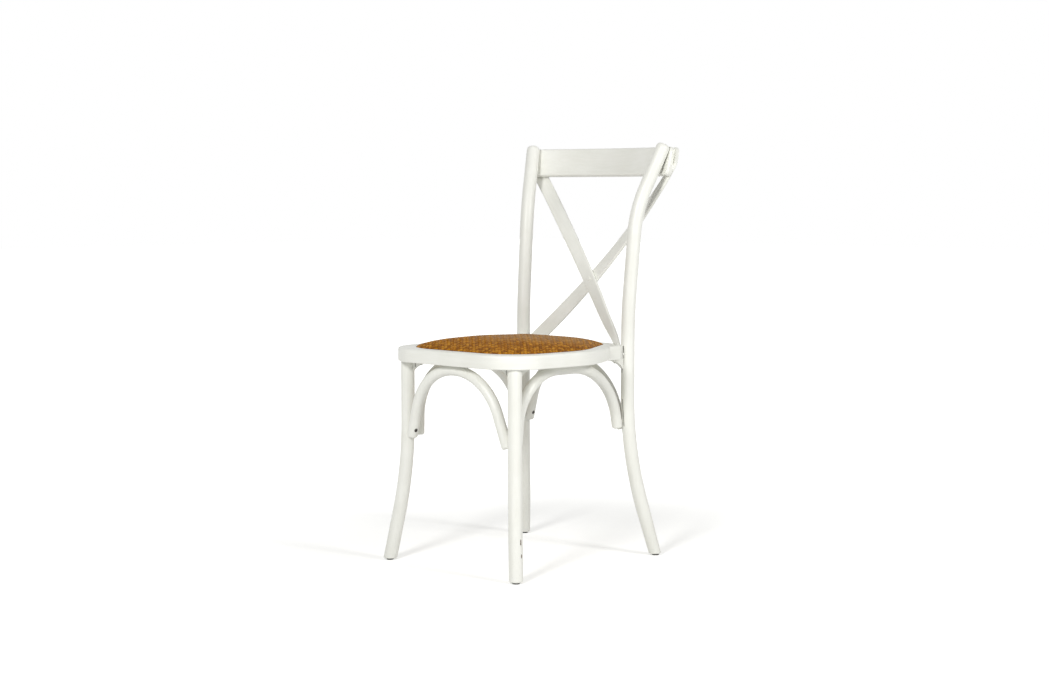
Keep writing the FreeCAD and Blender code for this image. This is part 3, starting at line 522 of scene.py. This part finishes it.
def dress():
    """Gives every CAD node its finish, by its own name or else by the name of its pair."""
    upright = painted_wood("painted_upright")
    level = painted_wood("painted_rail", along="X")
    layered = painted_layers("painted_ring")
    lean = math.radians(STRIP_LEAN)
    glides = dark_plastic("glide_plastic")
    screws = steel("screw_steel")
    finishes = {
        "crest_rail": level,
        "cross_rivet": level,
        "cross_strip_front": painted_wood("painted_strip_falling", turn=(0, lean, 0)),
        "cross_strip_rear": painted_wood("painted_strip_rising", turn=(0, -lean, 0)),
        "front_leg": upright,
        "front_leg_right": painted_wood("painted_marked_leg", chips=LEG_CHIPS),
        "rear_post": upright,
        "front_arch": upright,
        "rear_arch": upright,
        "side_arch": upright,
        "seat_ring": layered,
        "rear_block": layered,
        "front_bracket": layered,
        "rear_bracket": layered,
        "seat_board": bare_wood("birch_plywood"),
        "front_dowel": bare_wood("beech_dowel"),
        "seat_foam": foam("seat_foam"),
        "woven_seat": dark_weave("woven_seat"),
        "front_glide": glides,
        "rear_glide": glides,
        "post_bolt": upright,
        "bracket_screws": upright,
        "rail_screws": upright,
        "strip_screws": upright,
        "arch_end_screws": part_painted_steel("arch_screw_steel"),
        "arch_crown_screws": screws,
        "seat_screws": screws,
    }
    for name, node in nodes.items():
        pair = name.removesuffix("_left").removesuffix("_right")
        node.data.materials.clear()
        node.data.materials.append(finishes.get(name) or finishes[pair])


# Seat and back


def new_piece(name, mesh):
    piece = bpy.data.objects.new(name, mesh)
    bpy.context.scene.collection.objects.link(piece)
    return piece


def merged_copy(node, name):
    """A new piece with a CAD node's shape, its triangles joined."""
    mesh = node.data.copy()
    mesh.materials.clear()
    if "custom_normal" in mesh.attributes:
        mesh.attributes.remove(mesh.attributes["custom_normal"])
    form = bmesh.new()
    form.from_mesh(mesh)
    bmesh.ops.remove_doubles(form, verts=form.verts, dist=CAD_MERGE)
    form.to_mesh(mesh)
    form.free()
    return new_piece(name, mesh)


def shade(form):
    """Smooth faces, with sharp edges where they turn far."""
    for face in form.faces:
        face.smooth = True
    for edge in form.edges:
        edge.smooth = edge.calc_face_angle(0.0) < math.radians(SHARP_ANGLE)


def eased(share):
    """From 0 to 1, level at both ends."""
    share = min(1.0, max(0.0, share))
    return share * share * (3 - 2 * share)


def top_of(node):
    """Function that gives the height of a node's top at x, y, or None beside it."""
    form = bmesh.new()
    form.from_mesh(node.data)
    tree = BVHTree.FromBMesh(form)
    form.free()

    def height(x, y):
        hit = tree.ray_cast(Vector((x, y, RAY_START)), Vector((0, 0, -1)))[0]
        return None if hit is None else hit.z

    return height


def on_top(height, x, y):
    """A place on the top and its height, drawn in to the middle where x, y is off the seat."""
    ground = height(x, y)
    share = 1.0
    while ground is None:
        share -= DRAW_IN_STEP
        ground = height(x * share, y * share)
    return x * share, y * share, ground


def in_plan(axis, along, beside):
    """x and y of a place that is measured along a strand and beside the seat's middle."""
    return (along, beside) if axis == "X" else (beside, along)


def reach(height, axis, beside):
    """Where a strand meets the rim of the seat, at each of its ends."""
    ends = []
    for sign in (-1, 1):
        inside, outside = 0.0, BEYOND_SEAT
        while outside - inside > RIM_PRECISION:
            middle = (inside + outside) / 2
            if height(*in_plan(axis, sign * middle, beside)) is None:
                outside = middle
            else:
                inside = middle
        ends.append(sign * inside)
    return ends


def wave(along, strand):
    """How far a strand lies over its neighbours, from -1 to 1, flat on top and below."""
    turn = 2 * math.pi * (along / STRAND_PITCH + strand + 0.5) / REPEAT
    return max(-1.0, min(1.0, WAVE_FLATNESS * math.sin(turn)))


def lay_strand(form, height, axis, strand):
    """One strand over the seat, arched above, flat below and tucked in at its ends."""
    middle = strand * STRAND_PITCH
    half = STRAND_PITCH * STRAND_FILL / 2
    start, end = reach(height, axis, middle)
    if end - start < SHORTEST_STRAND:
        return
    steps = round((end - start) / STRAND_STEP)
    sides = len(STRAND_PROFILE) - 1
    band = bmesh.ops.create_grid(form, x_segments=steps, y_segments=sides, size=0.5)["verts"]
    for vert in band:
        along = start + (vert.co.x + 0.5) * (end - start)
        across = STRAND_PROFILE[round((vert.co.y + 0.5) * sides)]
        x, y, ground = on_top(height, *in_plan(axis, along, middle + across * half))
        over = TOP_SIGN[axis] * wave(along, strand) * STRAND_WAVE
        arch = STRAND_THICKNESS * across ** 4
        from_end = min(along - start, end - along)
        tuck = TUCK_DEPTH * max(0.0, 1 - from_end / TUCK_LENGTH) ** 2
        vert.co = (x, y, ground + over - arch - STRAND_SLACK - tuck)


def strands(name, height, axis, low, high):
    """All the strands that run one way over the seat, as closed bands."""
    form = bmesh.new()
    for strand in range(math.ceil(low / STRAND_PITCH), math.floor(high / STRAND_PITCH) + 1):
        lay_strand(form, height, axis, strand)
    bmesh.ops.remove_doubles(form, verts=form.verts, dist=SEAM_MERGE)
    bmesh.ops.holes_fill(form, edges=form.edges, sides=len(STRAND_PROFILE) - 1)
    bmesh.ops.recalc_face_normals(form, faces=form.faces)
    shade(form)
    mesh = bpy.data.meshes.new(name)
    form.to_mesh(mesh)
    form.free()
    return new_piece(name, mesh)


def sunk_pad(node, low, high):
    """Padded body of the seat, just below the strands."""
    piece = merged_copy(node, "seat_pad")
    rim = low.z + PAD_RIM
    span = PAD_SINK_SHARE * (high.z - rim)
    for vert in piece.data.vertices:
        if vert.co.z > rim:
            vert.co.z -= PAD_SINK * min(1.0, (vert.co.z - rim) / span)
    for face in piece.data.polygons:
        face.use_smooth = True
    return piece


def weave_seat():
    """The woven cover as real strands over a padded body and its filling."""
    low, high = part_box("woven_seat")
    height = top_of(nodes["woven_seat"])
    pad = sunk_pad(nodes["woven_seat"], low, high)
    warp = strands("seat_warp", height, "Y", low.x, high.x)
    weft = strands("seat_weft", height, "X", low.y, high.y)
    filling = merged_copy(nodes["seat_foam"], "seat_filling")
    # The pad below the strands carries the painted shade of the gaps
    pad.data.materials.append(dark_weave("seat_underlay"))
    # The warp gets the painted shaded copy of the cane colours and the weft the painted lit one
    warp.data.materials.append(woven_cane("cane_warp", "Y", SHADED_WARP_CANE))
    weft.data.materials.append(woven_cane("cane_weft", "X", LIT_WEFT_CANE))
    filling.data.materials.append(foam("seat_filling"))
    for piece in (pad, warp, weft):
        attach(piece, "root")
    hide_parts("woven_seat")
    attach(filling, "root")
    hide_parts("seat_foam")


def round_head(form, side):
    """Leans a strip's head to the rail and rounds its outer corner with flat cuts."""
    for vert in form.verts:
        vert.co.y -= HEAD_LEAN_IN * eased((vert.co.z - HEAD_FROM) / (HEAD_TO - HEAD_FROM))
    centre = Vector((side * HEAD_ARC_X, 0, HEAD_ARC_Z))
    for step in range(HEAD_CUTS):
        turn = math.radians(90 * (step + 0.5) / HEAD_CUTS)
        out = Vector((side * math.cos(turn), 0, math.sin(turn)))
        cut = bmesh.ops.bisect_plane(
            form, geom=form.verts[:] + form.edges[:] + form.faces[:], dist=SEAM_MERGE,
            plane_co=centre + HEAD_ARC_RADIUS * out, plane_no=out, clear_outer=True)["geom_cut"]
        rim = [part for part in cut if isinstance(part, bmesh.types.BMEdge)]
        bmesh.ops.holes_fill(form, edges=rim, sides=0)


def rounded_strips():
    """The back strips with heads rounded as the ends of the rail are."""
    for node_name, name, side in (("cross_strip_rear", "rising_strip", 1),
                                  ("cross_strip_front", "falling_strip", -1)):
        node = nodes[node_name]
        piece = merged_copy(node, name)
        piece.data.materials.append(node.data.materials[0])
        form = bmesh.new()
        form.from_mesh(piece.data)
        round_head(form, side)
        shade(form)
        form.to_mesh(piece.data)
        form.free()
        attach(piece, "root")
        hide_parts(node_name)


# Stage


def camera():
    data = bpy.data.cameras.new("camera")
    data.sensor_width = SENSOR_WIDTH
    data.lens = FOCAL_PIXELS / PHOTO_WIDTH * SENSOR_WIDTH
    data.clip_end = VIEW_END
    view = bpy.data.objects.new("camera", data)
    view.location = CAMERA_PLACE
    view.rotation_euler = (math.radians(90 - CAMERA_FALL), 0, math.radians(CAMERA_AZIMUTH))
    bpy.context.scene.collection.objects.link(view)
    bpy.context.scene.camera = view


def seen_directly(finish):
    """1 for what is seen straight or in a reflection or glass, 0 for light on the object."""
    rays = [finish.node("ShaderNodeLightPath", output=kind)
            for kind in ("Is Camera Ray", "Is Glossy Ray", "Is Transmission Ray")]
    return (rays[0] + rays[1] + rays[2]).at_most(1.0)


def floor():
    bpy.ops.mesh.primitive_plane_add(size=FLOOR_SIZE)
    ground = bpy.context.object
    ground.name = "floor"
    finish = Finish("pale_floor")
    away = finish.vector("LENGTH", finish.place(), output="Value")
    rise = FLOOR_GLOW_RISE * away.between(FLOOR_RISE_FROM, FLOOR_RISE_TO)
    glow = (FLOOR_GLOW + rise) * seen_directly(finish)
    diffuse = finish.node("ShaderNodeBsdfDiffuse", values={"Color": FLOOR_COLOUR})
    white = finish.node("ShaderNodeEmission",
                        values={"Color": FLOOR_GLOW_COLOUR, "Strength": glow})
    shader = finish.node("ShaderNodeAddShader", values={0: diffuse, 1: white})
    finish.feed(finish.tree.nodes["Material Output"].inputs["Surface"], shader)
    ground.data.materials.append(finish.material)


class Surroundings(Finish):
    """The world's own node tree."""

    def __init__(self):
        world = bpy.data.worlds.new("studio")
        world.use_nodes = True
        bpy.context.scene.world = world
        self.tree = world.node_tree


def surroundings():
    """Soft light on the chair from all round, and plain white behind it."""
    world = Surroundings()
    soft = world.node("ShaderNodeBackground",
                      values={"Color": ROOM_COLOUR, "Strength": ROOM_LIGHT})
    white = world.node("ShaderNodeBackground", values={"Color": PURE_WHITE, "Strength": 1.0})
    shader = world.node("ShaderNodeMixShader",
                        values={0: seen_directly(world), 1: soft, 2: white})
    world.feed(world.tree.nodes["World Output"].inputs["Surface"], shader)


def lights():
    """A soft box on each side of the camera, both in front of the chair and facing it."""
    middle = Vector(CHAIR_MIDDLE)
    for name, side, rise, away, width, power in SOFT_BOXES:
        turn = math.radians(CAMERA_AZIMUTH + side)
        slope = math.radians(rise)
        toward = Vector((math.sin(turn) * math.cos(slope), -math.cos(turn) * math.cos(slope),
                         math.sin(slope)))
        data = bpy.data.lights.new(name, "AREA")
        data.shape = "DISK"
        data.size = width
        data.energy = power
        lamp = bpy.data.objects.new(name, data)
        lamp.location = middle + away * toward
        lamp.rotation_euler = (-toward).to_track_quat("-Z", "Y").to_euler()
        bpy.context.scene.collection.objects.link(lamp)


camera()
dress()
weave_seat()
rounded_strips()
floor()
surroundings()
lights()
bpy.context.scene.view_settings.view_transform = "Standard"
